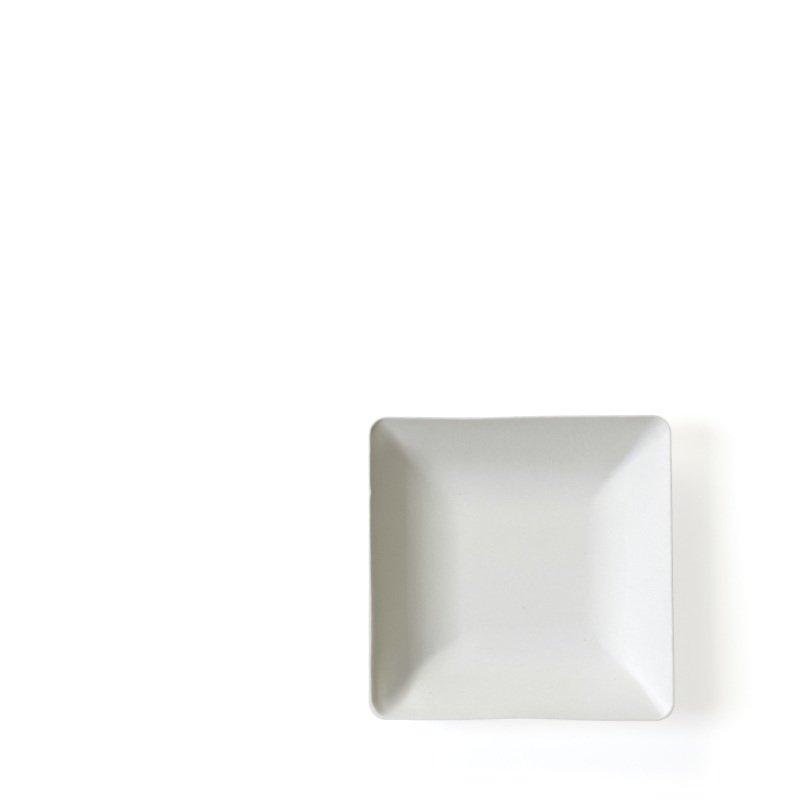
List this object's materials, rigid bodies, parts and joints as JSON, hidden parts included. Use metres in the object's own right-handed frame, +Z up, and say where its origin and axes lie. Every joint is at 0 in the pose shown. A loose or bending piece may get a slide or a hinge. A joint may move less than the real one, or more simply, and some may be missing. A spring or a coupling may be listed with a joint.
{
  "type": "square canape plate",
  "caption": "Small square dish of moulded sugar cane pulp with a flat base, sloping walls and a trimmed rim with rounded corners, for one bite of food.",
  "frame": {"origin": "centre of the flat underside that the plate rests on", "axes": "+Z up, out of the open side; +X and +Y square to the walls, with +Y towards the top of the picture"},
  "size_m": [0.065, 0.065, 0.015],
  "materials": {
    "pulp": "matte"
  },
  "bodies": {
    "root": {"plate": "pulp"}
  },
  "joints": []
}
